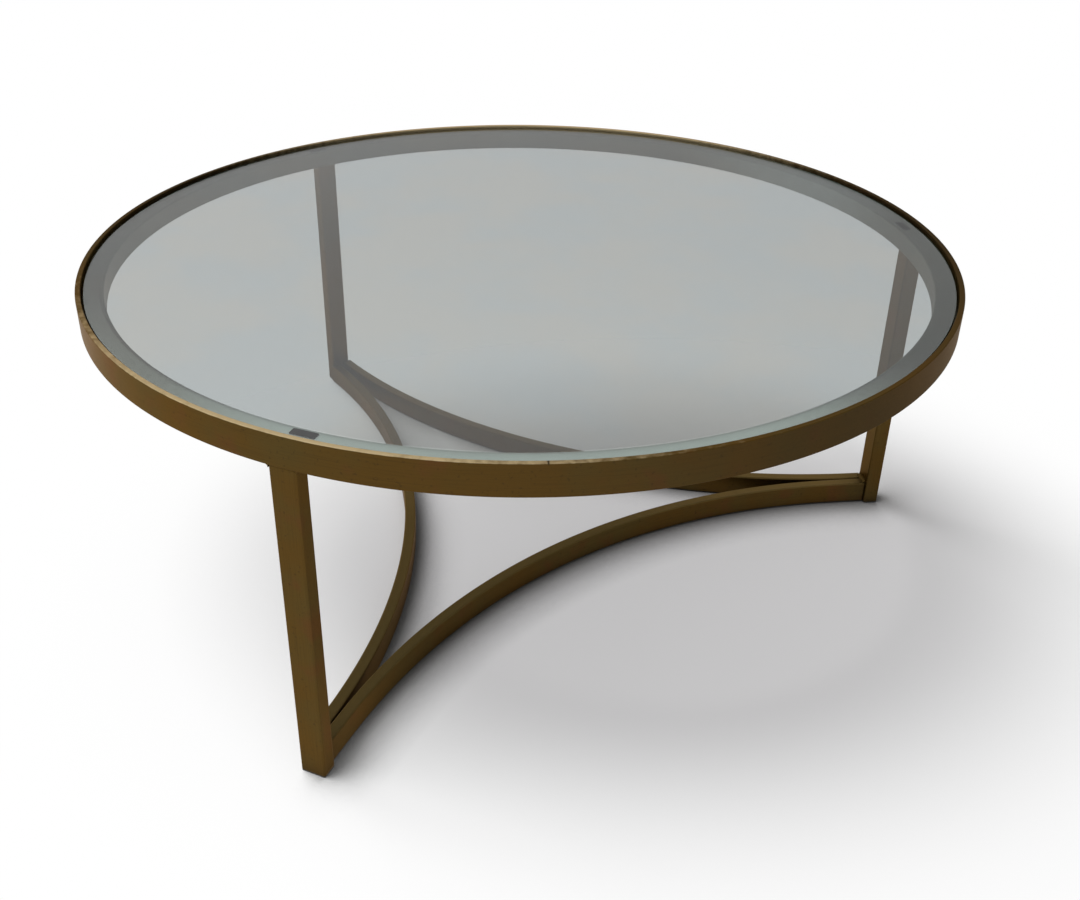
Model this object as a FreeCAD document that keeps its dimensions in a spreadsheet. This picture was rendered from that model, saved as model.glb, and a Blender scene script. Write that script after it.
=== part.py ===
# Round coffee table: a loose glass disc in a welded steel frame.
# The frame is a rebated ring on three tube legs, tied at the floor by three bent stretchers.
# Millimetres, +Z up, origin on the floor below the middle of the top.
import FreeCAD
import Part
import Sketcher
import math
import os

# Driving sizes, each written once
SIZES = (
    ("table_diameter", 1067.0, "across the outside of the rim band"),
    ("table_height", 422.0, "floor to the upper edge of the rim band"),
    ("band_height", 35.0, "rim band, rolled flat bar"),
    ("band_thickness", 6.0, "rim band"),
    ("band_edge_cut", 0.8, "softened edges of the rim band"),
    ("seat_width", 25.0, "seat ring, rolled tube inside the band"),
    ("seat_wall", 1.5, "seat ring"),
    ("seat_corner_cut", 1.4, "seat ring, outside corners"),
    ("seat_weld_gap", 0.3, "root gap between seat ring and band"),
    ("glass_thickness", 5.0, "glass disc"),
    ("glass_recess", 4.0, "upper face of the glass below the band's upper edge"),
    ("glass_edge_gap", 1.5, "glass edge to the inside of the band"),
    ("glass_arris", 0.8, "ground edge of the glass"),
    ("pad_thickness", 1.0, "rubber pad between seat ring and glass"),
    ("pad_length", 27.0, "rubber pad, along the ring"),
    ("pad_width", 10.0, "rubber pad, across the ring"),
    ("pad_corner_radius", 1.5, "rubber pad"),
    ("pad_edge_margin", 5.0, "rubber pad to the inner edge of the seat ring"),
    ("pad_turn_angle", 1.6, "turn from a leg to the pad beside it"),
    ("first_leg_angle", -90.0, "direction of the front leg"),
    ("leg_width", 30.0, "leg tube, along the ring"),
    ("leg_depth", 20.0, "leg tube, across the ring"),
    ("leg_wall", 1.6, "leg tube"),
    ("leg_corner_radius", 2.5, "leg tube, outside corners"),
    ("leg_inset", 2.0, "outer face of a leg behind the band's"),
    ("stretcher_height", 30.0, "stretcher tube"),
    ("stretcher_depth", 14.5, "stretcher tube"),
    ("stretcher_wall", 1.5, "stretcher tube"),
    ("stretcher_corner_cut", 1.4, "stretcher tube, outside corners"),
    ("stretcher_pair_gap", 1.0, "between the two stretchers at the front and right feet"),
    ("stretcher_pair_shift", 4.0, "middle of that pair beside the middle of the leg"),
    ("lead_straight_length", 48.0, "straight end of the front right stretcher, from the leg"),
    ("side_straight_length", 2.0, "straight end of the other two stretchers, from the leg"),
    ("glide_thickness", 1.5, "sole of a glide, below the leg tube"),
    ("glide_stem_height", 15.0, "glide, part inside the leg tube"),
    ("glide_stem_wall", 1.8, "glide, hollow stem"),
    ("glide_fit", 0.3, "glide fins to the bore of the leg tube"),
    ("glide_fin_reach", 0.8, "how far the fins stand out of the stem"),
    ("glide_fin_thickness", 1.2, "glide fins"),
    ("glide_fin_pitch", 4.0, "spacing of the glide fins"),
    ("leg_weld_size", 4.0, "fillet weld round the top of a leg"),
    ("stretcher_weld_size", 4.0, "fillet weld across the stretchers"),
    ("weld_toe", 0.4, "blunt rim of a weld"),
)

# The three legs by name, anticlockwise from the front
LEG_NAMES = ("front", "right", "left")
LEG_STEP = 360.0 / len(LEG_NAMES)
HALF_STEP = LEG_STEP / 2.0
FIN_COUNT = 3

# Sizes and places that follow from the driving ones
RIM_RADIUS = "Sizes.table_diameter / 2"
BAND_BORE = f"({RIM_RADIUS} - Sizes.band_thickness)"
RING_BOTTOM = "(Sizes.table_height - Sizes.band_height)"
SEAT_OUTER = f"({BAND_BORE} - Sizes.seat_weld_gap)"
SEAT_INNER = f"({SEAT_OUTER} - Sizes.seat_width)"
GLASS_RADIUS = f"({BAND_BORE} - Sizes.glass_edge_gap)"
GLASS_BOTTOM = "(Sizes.table_height - Sizes.glass_recess - Sizes.glass_thickness)"
PAD_BOTTOM = f"({GLASS_BOTTOM} - Sizes.pad_thickness)"
SEAT_HEIGHT = f"({PAD_BOTTOM} - {RING_BOTTOM})"
PAD_RADIUS = f"({SEAT_INNER} + Sizes.pad_edge_margin + Sizes.pad_width / 2)"
LEG_OUTER = f"({RIM_RADIUS} - Sizes.leg_inset)"
LEG_RADIUS = f"({LEG_OUTER} - Sizes.leg_depth / 2)"
LEG_INNER = f"({LEG_OUTER} - Sizes.leg_depth)"
LEG_LENGTH = f"({RING_BOTTOM} - Sizes.glide_thickness)"
LEG_BORE_WIDTH = "(Sizes.leg_width - 2 * Sizes.leg_wall)"
LEG_BORE_DEPTH = "(Sizes.leg_depth - 2 * Sizes.leg_wall)"
PAIR_OFFSET = "(Sizes.stretcher_pair_gap + Sizes.stretcher_depth) / 2"
LEAD_OFFSET = f"({PAIR_OFFSET} - Sizes.stretcher_pair_shift)"
SIDE_OFFSET = f"({PAIR_OFFSET} + Sizes.stretcher_pair_shift)"
STRETCHER_MIDDLE = "(Sizes.glide_thickness + Sizes.stretcher_height / 2)"
STRETCHER_TOP = "(Sizes.glide_thickness + Sizes.stretcher_height)"

# How far a weld across stretcher ends may run, counted from the middle of the leg
LEG_FLAT_END = "(Sizes.leg_width / 2 - Sizes.leg_corner_radius)"
LEAD_FLAT_END = f"({LEAD_OFFSET} + Sizes.stretcher_depth / 2 - Sizes.stretcher_corner_cut)"
SIDE_FLAT_START = f"({SIDE_OFFSET} - Sizes.stretcher_depth / 2 + Sizes.stretcher_corner_cut)"

# The stretcher that follows each leg: its offset beside the legs and its straight ends
STRETCHER_KINDS = (
    ("front_right", LEAD_OFFSET, "Sizes.lead_straight_length"),
    ("back", SIDE_OFFSET, "Sizes.side_straight_length"),
    ("front_left", SIDE_OFFSET, "Sizes.side_straight_length"),
)

# The welds across stretcher ends, with the number of the leg and where each starts and stops
STRETCHER_WELDS = (
    ("front", 0, f"(-{LEG_FLAT_END})", LEAD_FLAT_END),
    ("right", 1, f"(-{LEAD_FLAT_END})", LEG_FLAT_END),
    ("left_back", 2, f"(-{LEG_FLAT_END})", f"(-{SIDE_FLAT_START})"),
    ("left_front", 2, SIDE_FLAT_START, LEG_FLAT_END),
)

doc = FreeCAD.newDocument("RoundCoffeeTable")
sheet = doc.addObject("Spreadsheet::Sheet", "Sizes")
for row, (alias, size, meaning) in enumerate(SIZES, start=1):
    sheet.set(f"A{row}", alias)
    sheet.set(f"B{row}", str(size))
    sheet.set(f"C{row}", meaning)
    sheet.setAlias(f"B{row}", alias)
doc.recompute()

subparts = []


def number(expression):
    """The present value of an expression on the sheet's sizes."""
    return float(sheet.evalExpression(expression))


def new_body(label):
    """An empty body whose label names the sub-part."""
    body = doc.addObject("PartDesign::Body", label)
    body.Label = label
    subparts.append(body)
    return body


def place(body, height, radius=None, turn=None):
    """Ties a body's height, its distance from the table's axis and its turn to the sheet."""
    body.setExpression("Placement.Base.z", height)
    if turn is not None:
        body.setExpression("Placement.Rotation.Angle", turn)
    if radius is not None:
        body.setExpression("Placement.Base.x", f"({radius}) * cos({turn})")
        body.setExpression("Placement.Base.y", f"({radius}) * sin({turn})")


def leg_turn(index):
    """Direction of a leg, counted anticlockwise from the front one."""
    return f"(Sizes.first_leg_angle + {LEG_STEP * index})"


def origin_plane(body, role):
    """One of the body's own origin planes."""
    for feature in body.Origin.OriginFeatures:
        if feature.Role == role:
            return feature
    raise ValueError(role)


def new_sketch(body, name, role, offset=None):
    """A sketch on an origin plane of the body, lifted off it by an optional offset."""
    sketch = body.newObject("Sketcher::SketchObject", f"{body.Label}_{name}")
    sketch.AttachmentSupport = [(origin_plane(body, role), "")]
    sketch.MapMode = "FlatFace"
    if offset is not None:
        sketch.setExpression("AttachmentOffset.Base.z", offset)
    return sketch


def drive(sketch, kind, references, expression):
    """Adds one driving dimension to a sketch and ties it to the sheet."""
    start = number(expression)
    if kind == "Angle":
        start = math.radians(start)
    index = sketch.addConstraint(Sketcher.Constraint(kind, *references, start))
    sketch.setExpression(f"Constraints[{index}]", expression)


def relate(sketch, kind, *references):
    """Adds one geometric constraint to a sketch."""
    sketch.addConstraint(Sketcher.Constraint(kind, *references))


def line(sketch, start, end):
    """Adds a straight line and returns its index."""
    segment = Part.LineSegment(FreeCAD.Vector(*start, 0), FreeCAD.Vector(*end, 0))
    return sketch.addGeometry(segment, False)


def arc(sketch, centre, radius, start_angle, end_angle):
    """Adds an anticlockwise arc, with its angles in degrees, and returns its index."""
    circle = Part.Circle(FreeCAD.Vector(*centre, 0), FreeCAD.Vector(0, 0, 1), radius)
    bow = Part.ArcOfCircle(circle, math.radians(start_angle), math.radians(end_angle))
    return sketch.addGeometry(bow, False)


def centre_mark(sketch, across=None, along=None):
    """A construction point that a section is drawn around; without a place it is the origin."""
    spot = (number(across) if across else 0, number(along) if along else 0)
    mark = sketch.addGeometry(Part.Point(FreeCAD.Vector(*spot, 0)), True)
    for kind, place_along, axis in (("DistanceX", across, -2), ("DistanceY", along, -1)):
        if place_along:
            drive(sketch, kind, (-1, 1, mark, 1), place_along)
        else:
            relate(sketch, "PointOnObject", mark, 1, axis)
    return mark, spot


def size_rectangle(sketch, mark, flats, width, height):
    """Centres a rectangle's bottom, right, top and left lines on a mark and sizes it."""
    bottom_line, right_line, top_line, left_line = flats
    for flat in (bottom_line, top_line):
        relate(sketch, "Horizontal", flat)
    for upright in (left_line, right_line):
        relate(sketch, "Vertical", upright)
    relate(sketch, "Symmetric", bottom_line, 1, top_line, 1, mark, 1)
    drive(sketch, "Distance", (left_line, 1, right_line), width)
    drive(sketch, "Distance", (bottom_line, 1, top_line), height)


def plain_rectangle(sketch, centre, width, height):
    """A closed rectangle with square corners, centred on a mark and tied to the sheet."""
    mark, (across, along) = centre
    half = number(width) / 2
    rise = number(height) / 2
    left, right, low, high = across - half, across + half, along - rise, along + rise
    corners = ((left, low), (right, low), (right, high), (left, high))
    flats = [line(sketch, corners[side - 1], corners[side]) for side in (1, 2, 3, 0)]
    for before, after in zip(flats, flats[1:] + flats[:1]):
        relate(sketch, "Coincident", before, 2, after, 1)
    size_rectangle(sketch, mark, flats, width, height)


def cut_rectangle(sketch, centre, width, height, cut):
    """A closed rectangle with its corners cut at 45 degrees, tied to the sheet."""
    mark, (across, along) = centre
    slope = number(cut)
    half = number(width) / 2
    rise = number(height) / 2
    left, right, low, high = across - half, across + half, along - rise, along + rise
    stops = (
        (left + slope, low),
        (right - slope, low),
        (right, low + slope),
        (right, high - slope),
        (right - slope, high),
        (left + slope, high),
        (left, high - slope),
        (left, low + slope),
    )
    sides = [line(sketch, start, end) for start, end in zip(stops, stops[1:] + stops[:1])]
    for before, after in zip(sides, sides[1:] + sides[:1]):
        relate(sketch, "Coincident", before, 2, after, 1)
    size_rectangle(sketch, mark, sides[0::2], width, height)
    cuts = sides[1::2]
    for before, after in zip(cuts, cuts[1:]):
        relate(sketch, "Equal", before, after)
        relate(sketch, "Perpendicular", before, after)
    for kind in ("DistanceX", "DistanceY"):
        drive(sketch, kind, (cuts[0], 1, cuts[0], 2), cut)


def rounded_rectangle(sketch, centre, width, height, radius):
    """A closed rectangle with round corners, centred on a mark and tied to the sheet."""
    mark, (across, along) = centre
    bend = number(radius)
    half = number(width) / 2
    rise = number(height) / 2
    left, right, low, high = across - half, across + half, along - rise, along + rise
    bottom_line = line(sketch, (left + bend, low), (right - bend, low))
    right_line = line(sketch, (right, low + bend), (right, high - bend))
    top_line = line(sketch, (right - bend, high), (left + bend, high))
    left_line = line(sketch, (left, high - bend), (left, low + bend))
    corners = (
        (bottom_line, right_line, (right - bend, low + bend), 270),
        (right_line, top_line, (right - bend, high - bend), 0),
        (top_line, left_line, (left + bend, high - bend), 90),
        (left_line, bottom_line, (left + bend, low + bend), 180),
    )
    bows = []
    for before, after, middle, start in corners:
        bow = arc(sketch, middle, bend, start, start + 90)
        relate(sketch, "Tangent", before, 2, bow, 1)
        relate(sketch, "Tangent", bow, 2, after, 1)
        bows.append(bow)
    for bow in bows[1:]:
        relate(sketch, "Equal", bows[0], bow)
    size_rectangle(sketch, mark, (bottom_line, right_line, top_line, left_line), width, height)
    drive(sketch, "Radius", (bows[0],), radius)


def bore(sketch, centre, width, height, wall):
    """The square-cornered hollow of a rectangular tube, inside its outline."""
    plain_rectangle(sketch, centre, f"({width} - 2 * {wall})", f"({height} - 2 * {wall})")


def tube_section(sketch, centre, width, height, cut, wall):
    """The outline, with its corners cut, and the bore of a rectangular tube that is bent."""
    cut_rectangle(sketch, centre, width, height, cut)
    bore(sketch, centre, width, height, wall)


def weld_profile(sketch, corner, size, way):
    """A hollow fillet weld drawn from the corner it fills.

    The two flats lie on the joined faces and a quarter arc runs between their blunt ends.
    The weld goes right and down from the corner for a way of 1, left and up for a way of -1.
    """
    start_x, start_y = (number(place) if place else 0 for place in corner)
    reach = number(size)
    toe = number("Sizes.weld_toe")

    def at(along, aside):
        return (start_x + way * along, start_y - way * aside)

    flat = line(sketch, at(0, 0), at(reach, 0))
    flat_toe = line(sketch, at(reach, 0), at(reach, toe))
    side_toe = line(sketch, at(toe, reach), at(0, reach))
    side = line(sketch, at(0, reach), at(0, 0))
    first = 90 if way > 0 else 270
    bow = arc(sketch, at(reach, reach), reach - toe, first, first + 90)
    relate(sketch, "Coincident", flat, 2, flat_toe, 1)
    relate(sketch, "Coincident", flat_toe, 2, bow, 1)
    relate(sketch, "Coincident", bow, 2, side_toe, 1)
    relate(sketch, "Coincident", side_toe, 2, side, 1)
    relate(sketch, "Coincident", side, 2, flat, 1)
    relate(sketch, "Horizontal", flat)
    relate(sketch, "Vertical", flat_toe)
    relate(sketch, "Horizontal", side_toe)
    relate(sketch, "Vertical", side)
    relate(sketch, "Vertical", bow, 3, flat, 2)
    drive(sketch, "Distance", (flat, 1, flat, 2), size)
    drive(sketch, "Distance", (side, 1, side, 2), size)
    drive(sketch, "Distance", (flat_toe, 1, flat_toe, 2), "Sizes.weld_toe")
    drive(sketch, "Distance", (side_toe, 1, side_toe, 2), "Sizes.weld_toe")
    return flat


def pad(body, name, sketch, length, midplane=False):
    """Extrudes a sketch away from its plane, or evenly to both sides of it."""
    feature = body.newObject("PartDesign::Pad", f"{body.Label}_{name}")
    feature.Profile = sketch
    feature.setExpression("Length", length)
    feature.Midplane = midplane
    return feature


def revolve(body, name, sketch):
    """Turns a sketch on the XZ plane once round the table's axis."""
    feature = body.newObject("PartDesign::Revolution", f"{body.Label}_{name}")
    feature.Profile = sketch
    feature.ReferenceAxis = (sketch, ["V_Axis"])
    feature.Angle = 360
    return feature


def build_rim_band():
    """The outer hoop, a flat bar rolled on its easy side."""
    body = new_body("rim_band")
    sketch = new_sketch(body, "section", "XZ_Plane")
    centre = centre_mark(sketch, f"({RIM_RADIUS} - Sizes.band_thickness / 2)", "Sizes.band_height / 2")
    cut_rectangle(sketch, centre, "Sizes.band_thickness", "Sizes.band_height", "Sizes.band_edge_cut")
    revolve(body, "hoop", sketch)
    place(body, RING_BOTTOM)


def build_seat_ring():
    """The rolled tube inside the band; its upper face stops short of the band's to seat the glass."""
    body = new_body("seat_ring")
    sketch = new_sketch(body, "section", "XZ_Plane")
    centre = centre_mark(sketch, f"({SEAT_INNER} + Sizes.seat_width / 2)", f"{SEAT_HEIGHT} / 2")
    tube_section(
        sketch, centre, "Sizes.seat_width", SEAT_HEIGHT, "Sizes.seat_corner_cut", "Sizes.seat_wall"
    )
    revolve(body, "ring", sketch)
    place(body, RING_BOTTOM)


def build_glass():
    """The loose glass disc, a little below the band's upper edge, with both edges ground."""
    body = new_body("glass_top")
    sketch = new_sketch(body, "outline", "XY_Plane")
    disc = Part.Circle(FreeCAD.Vector(0, 0, 0), FreeCAD.Vector(0, 0, 1), number(GLASS_RADIUS))
    rim = sketch.addGeometry(disc, False)
    relate(sketch, "Coincident", rim, 3, -1, 1)
    drive(sketch, "Radius", (rim,), GLASS_RADIUS)
    sheet_of_glass = pad(body, "sheet", sketch, "Sizes.glass_thickness")
    doc.recompute()
    rims = [
        f"Edge{index}"
        for index, edge in enumerate(sheet_of_glass.Shape.Edges, start=1)
        if isinstance(edge.Curve, Part.Circle)
    ]
    arris = body.newObject("PartDesign::Chamfer", "glass_top_arris")
    arris.Base = (sheet_of_glass, rims)
    arris.setExpression("Size", "Sizes.glass_arris")
    place(body, GLASS_BOTTOM)


def build_glass_pad(name, turn):
    """A thin rubber pad on the seat ring beside a leg."""
    body = new_body(f"glass_pad_{name}")
    sketch = new_sketch(body, "outline", "XY_Plane")
    rounded_rectangle(
        sketch, centre_mark(sketch), "Sizes.pad_width", "Sizes.pad_length", "Sizes.pad_corner_radius"
    )
    pad(body, "sheet", sketch, "Sizes.pad_thickness")
    place(body, PAD_BOTTOM, PAD_RADIUS, f"({turn} + Sizes.pad_turn_angle)")


def build_leg(name, turn):
    """An upright tube, butted under the ring, with its wide face outwards."""
    body = new_body(f"leg_{name}")
    sketch = new_sketch(body, "section", "XY_Plane")
    centre = centre_mark(sketch)
    rounded_rectangle(
        sketch, centre, "Sizes.leg_depth", "Sizes.leg_width", "Sizes.leg_corner_radius"
    )
    bore(sketch, centre, "Sizes.leg_depth", "Sizes.leg_width", "Sizes.leg_wall")
    pad(body, "tube", sketch, LEG_LENGTH)
    place(body, "Sizes.glide_thickness", LEG_RADIUS, turn)


def build_glide(name, turn):
    """A plastic insert that closes a leg: a sole, a hollow stem and fins that hug the bore."""
    body = new_body(f"glide_{name}")
    sole = new_sketch(body, "sole_outline", "XY_Plane")
    rounded_rectangle(
        sole, centre_mark(sole), "Sizes.leg_depth", "Sizes.leg_width", "Sizes.leg_corner_radius"
    )
    pad(body, "sole", sole, "Sizes.glide_thickness")

    fin_depth = f"({LEG_BORE_DEPTH} - 2 * Sizes.glide_fit)"
    fin_width = f"({LEG_BORE_WIDTH} - 2 * Sizes.glide_fit)"
    stem_depth = f"({fin_depth} - 2 * Sizes.glide_fin_reach)"
    stem_width = f"({fin_width} - 2 * Sizes.glide_fin_reach)"
    stem = new_sketch(body, "stem_section", "XY_Plane", "Sizes.glide_thickness")
    stem_centre = centre_mark(stem)
    plain_rectangle(stem, stem_centre, stem_depth, stem_width)
    bore(stem, stem_centre, stem_depth, stem_width, "Sizes.glide_stem_wall")
    pad(body, "stem", stem, "Sizes.glide_stem_height")

    fin = new_sketch(body, "fin_section", "XY_Plane", "Sizes.glide_thickness + Sizes.glide_fin_pitch")
    fin_centre = centre_mark(fin)
    plain_rectangle(fin, fin_centre, fin_depth, fin_width)
    plain_rectangle(fin, fin_centre, stem_depth, stem_width)
    first_fin = pad(body, "fin", fin, "Sizes.glide_fin_thickness")
    fins = body.newObject("PartDesign::LinearPattern", f"{body.Label}_fins")
    fins.Originals = [first_fin]
    fins.Direction = (fin, ["N_Axis"])
    fins.Occurrences = FIN_COUNT
    fins.setExpression("Length", f"Sizes.glide_fin_pitch * {FIN_COUNT - 1}")
    body.Tip = fins
    place(body, "0", LEG_RADIUS, turn)


def build_stretcher(name, turn, offset, straight_length):
    """A bent tube between two feet.

    Its middle line is an arc on the line between two legs, tangent to a straight end that runs
    at an offset beside the middle plane of each leg and stops square against the leg's inner
    face. Half of it is swept from the middle of the arc and mirrored.
    """
    body = new_body(f"stretcher_{name}")
    spine = new_sketch(body, "middle_line", "XY_Plane")
    bend_start = f"({LEG_INNER} - {straight_length})"
    bend_centre = f"({bend_start} / cos({HALF_STEP}))"
    bend_radius = f"({bend_start} * tan({HALF_STEP}) - {offset})"
    bend = number(bend_radius)
    middle = number(bend_centre)
    aside = number(offset)
    slope = math.radians(HALF_STEP)
    leg_face = number(LEG_INNER)
    touch = (middle - bend * math.sin(slope), bend * math.cos(slope))
    end = (
        leg_face * math.cos(slope) + aside * math.sin(slope),
        leg_face * math.sin(slope) - aside * math.cos(slope),
    )
    bow = arc(spine, (middle, 0), bend, 90 + HALF_STEP, 180)
    straight = line(spine, touch, end)
    relate(spine, "Tangent", bow, 1, straight, 1)
    relate(spine, "PointOnObject", bow, 2, -1)
    relate(spine, "PointOnObject", bow, 3, -1)
    drive(spine, "Radius", (bow,), bend_radius)
    drive(spine, "Angle", (straight,), str(HALF_STEP))
    drive(spine, "Distance", (-1, 1, straight), offset)
    drive(spine, "Distance", (-1, 1, straight, 2), f"sqrt(pow({LEG_INNER}; 2) + pow({offset}; 2))")

    section = new_sketch(body, "section", "XZ_Plane")
    tube_section(
        section,
        centre_mark(section, f"({bend_centre} - {bend_radius})"),
        "Sizes.stretcher_depth",
        "Sizes.stretcher_height",
        "Sizes.stretcher_corner_cut",
        "Sizes.stretcher_wall",
    )
    doc.recompute()
    half = body.newObject("PartDesign::AdditivePipe", f"{body.Label}_half")
    half.Profile = section
    half.Spine = (spine, ["Edge1", "Edge2"])
    doc.recompute()
    whole = body.newObject("PartDesign::Mirrored", f"{body.Label}_whole")
    whole.Originals = [half]
    whole.MirrorPlane = (origin_plane(body, "XZ_Plane"), [""])
    body.Tip = whole
    place(body, STRETCHER_MIDDLE, turn=turn)


def build_leg_weld(name, turn):
    """The fillet weld under the ring, round the two sides and the inner face of a leg's top."""
    body = new_body(f"leg_weld_{name}")
    half_depth = "Sizes.leg_depth / 2"
    half_width = "Sizes.leg_width / 2"
    path = new_sketch(body, "run", "XY_Plane")
    depth = number(half_depth)
    width = number(half_width)
    near_side = line(path, (depth, width), (-depth, width))
    inner_face = line(path, (-depth, width), (-depth, -width))
    far_side = line(path, (-depth, -width), (depth, -width))
    relate(path, "Coincident", near_side, 2, inner_face, 1)
    relate(path, "Coincident", inner_face, 2, far_side, 1)
    relate(path, "Vertical", inner_face)
    relate(path, "Horizontal", far_side)
    relate(path, "Symmetric", near_side, 1, far_side, 2, -1)
    relate(path, "Symmetric", near_side, 1, near_side, 2, -2)
    drive(path, "Distance", (near_side, 1, near_side, 2), "Sizes.leg_depth")
    drive(path, "Distance", (inner_face, 1, inner_face, 2), "Sizes.leg_width")

    profile = new_sketch(body, "bead", "YZ_Plane", half_depth)
    flat = weld_profile(profile, (half_width, None), "Sizes.leg_weld_size", 1)
    drive(profile, "DistanceX", (-1, 1, flat, 1), half_width)
    relate(profile, "PointOnObject", flat, 1, -1)
    doc.recompute()
    bead = body.newObject("PartDesign::AdditivePipe", f"{body.Label}_collar")
    bead.Profile = profile
    bead.Spine = (path, ["Edge1", "Edge2", "Edge3"])
    bead.Transition = "Right corner"
    place(body, RING_BOTTOM, LEG_RADIUS, turn)


def build_stretcher_weld(name, turn, first, last):
    """The fillet weld between the upper faces of stretchers and a leg's inner face.

    It runs along the ring from a first to a last place, counted anticlockwise from the leg's middle.
    """
    body = new_body(f"stretcher_weld_{name}")
    profile = new_sketch(body, "bead", "XZ_Plane", f"-({first} + {last}) / 2")
    flat = weld_profile(profile, (None, None), "Sizes.stretcher_weld_size", -1)
    relate(profile, "Coincident", flat, 1, -1, 1)
    pad(body, "run", profile, f"({last} - {first})", midplane=True)
    place(body, STRETCHER_TOP, LEG_INNER, turn)


build_rim_band()
build_seat_ring()
build_glass()
for index, name in enumerate(LEG_NAMES):
    build_glass_pad(name, leg_turn(index))
    build_leg(name, leg_turn(index))
    build_glide(name, leg_turn(index))
    build_leg_weld(name, leg_turn(index))
for index, (name, offset, straight_length) in enumerate(STRETCHER_KINDS):
    build_stretcher(name, f"({leg_turn(index)} + {HALF_STEP})", offset, straight_length)
for name, index, first, last in STRETCHER_WELDS:
    build_stretcher_weld(name, leg_turn(index), first, last)
doc.recompute()

# Nothing is written unless every feature is sound
for feature in doc.Objects:
    if "Invalid" in feature.State or "Error" in feature.State:
        raise RuntimeError(f"{feature.Label} failed: {feature.State}")
for body in subparts:
    if body.Shape.isNull() or not body.Shape.isValid():
        raise RuntimeError(f"{body.Label} has no sound shape")

os.makedirs("parts", exist_ok=True)
for body in subparts:
    body.Shape.exportStep(f"parts/{body.Label}.step")
    print(f"{body.Label}: {len(body.Shape.Solids)} solid, {body.Shape.Volume:.0f} mm3")
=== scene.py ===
"""Dresses the round coffee table: brass ring, legs and stretchers, a glass disc, pads and glides."""

import functools
import logging
import math
from dataclasses import dataclass, field
from enum import Enum
from typing import Any

import bpy
import numpy as np
from bpy.types import Material, Mesh, Node, NodeSocket, Object, World
from mathutils import Matrix, Vector


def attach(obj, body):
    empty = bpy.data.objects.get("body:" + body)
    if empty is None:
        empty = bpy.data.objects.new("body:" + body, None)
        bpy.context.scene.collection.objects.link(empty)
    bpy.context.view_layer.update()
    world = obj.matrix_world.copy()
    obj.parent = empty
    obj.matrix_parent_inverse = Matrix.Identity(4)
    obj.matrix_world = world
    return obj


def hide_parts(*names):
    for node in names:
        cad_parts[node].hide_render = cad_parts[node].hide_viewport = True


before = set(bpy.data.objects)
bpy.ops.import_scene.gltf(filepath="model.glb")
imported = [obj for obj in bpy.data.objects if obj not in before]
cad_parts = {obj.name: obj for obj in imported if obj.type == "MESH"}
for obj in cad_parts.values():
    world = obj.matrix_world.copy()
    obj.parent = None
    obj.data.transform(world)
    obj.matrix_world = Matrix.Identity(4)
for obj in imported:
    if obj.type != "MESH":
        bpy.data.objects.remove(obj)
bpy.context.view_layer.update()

log = logging.getLogger("round_table")

MM = 0.001
LEG_NAMES = ("front", "right", "left")
STRETCHER_NAMES = ("front_right", "back", "front_left")
FRONT, RIGHT, LEFT = range(len(LEG_NAMES))
LEG_STEP = math.tau / len(LEG_NAMES)
FRONT_TURN = -math.pi / 2
UP = np.array([0.0, 0.0, 1.0])
UV_METRES = "metres"
EDGE_STEPS = np.array([0.35, 1.0, 2.4, 5.0, 10.0]) * MM
EDGE_FADE = 1.6 * MM
NOISE_MIDDLE = 0.5
WHITE = (1.0, 1.0, 1.0, 1.0)
SHOWN_RAYS = ("Camera", "Glossy", "Transmission")

Span = tuple[float, float]
Triple = tuple[float, float, float]
Colour = Triple


class Body(Enum):
    """The two rigid bodies that the pieces ride on."""

    BASE = "base"
    GLASS = "glass"


class Slot(Enum):
    """The record's material slots."""

    BRASS = "antique_brass"
    GLASS = "glass"
    RUBBER = "pad_rubber"
    PLASTIC = "glide_plastic"


class Measure(Enum):
    """The point attributes that the finishes read from a mesh."""

    # Real edge wear, plus painted highlight on the rim's top edge and painted light on its inner wall
    # and on the seat; on the glass, the share of its ground edge.
    WEAR_AND_PAINTED_LIGHT = "wear_and_painted_light"
    # The dark seam nick and weld grime, darkening at the legs' feet and the stretchers' ends and
    # bottoms, and painted shade on the rim's outer face and inner wall.
    GRIME_AND_PAINTED_SHADE = "grime_and_painted_shade"
    DUST = "dust"


def smooth_step(value: np.ndarray, low: float, high: float) -> np.ndarray:
    """Eases from 0 to 1 between two limits by the cubic 3s^2 - 2s^3.

    Args:
        value: The numbers to ease.
        low: Where the result leaves 0.
        high: Where the result reaches 1.

    Returns:
        The eased numbers.
    """
    share = np.clip((value - low) / (high - low), 0.0, 1.0)
    return share * share * (3.0 - 2.0 * share)


@dataclass(frozen=True)
class Bell:
    """A stretch of a ring that fades to both sides, in degrees of plan direction.

    Attributes:
        turn: Direction of its middle.
        spread: How far it reaches.
        depth: Its height in the middle.
    """

    turn: float
    spread: float
    depth: float

    def around(self, turns: np.ndarray) -> np.ndarray:
        """Its depth times e^-(a/spread)^2, where a is the shorter way round to its middle.

        Args:
            turns: Plan directions in radians.

        Returns:
            The height in each direction.
        """
        aside = np.angle(np.exp(1j * (turns - math.radians(self.turn))))
        return self.depth * np.exp(-((aside / math.radians(self.spread)) ** 2))


def leg_turn(index: int) -> float:
    """The plan direction of a leg, counted anticlockwise from the front one."""
    return FRONT_TURN + index * LEG_STEP


@dataclass(frozen=True)
class Section:
    """A closed outline in the plane across a path, listed anticlockwise.

    Attributes:
        side: Distances along the path's side direction.
        rise: Distances along the path's rise direction.
        edge: How exposed each point is, 1 on a round corner and falling to 0 on the flats.
    """

    side: np.ndarray
    rise: np.ndarray
    edge: np.ndarray

    def girth(self) -> np.ndarray:
        """Metres round the outline at each point, with the closing point last."""
        across = np.diff(self.side, append=self.side[0])
        steps = np.hypot(across, np.diff(self.rise, append=self.rise[0]))
        return np.concatenate([[0.0], np.cumsum(steps)])


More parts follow.
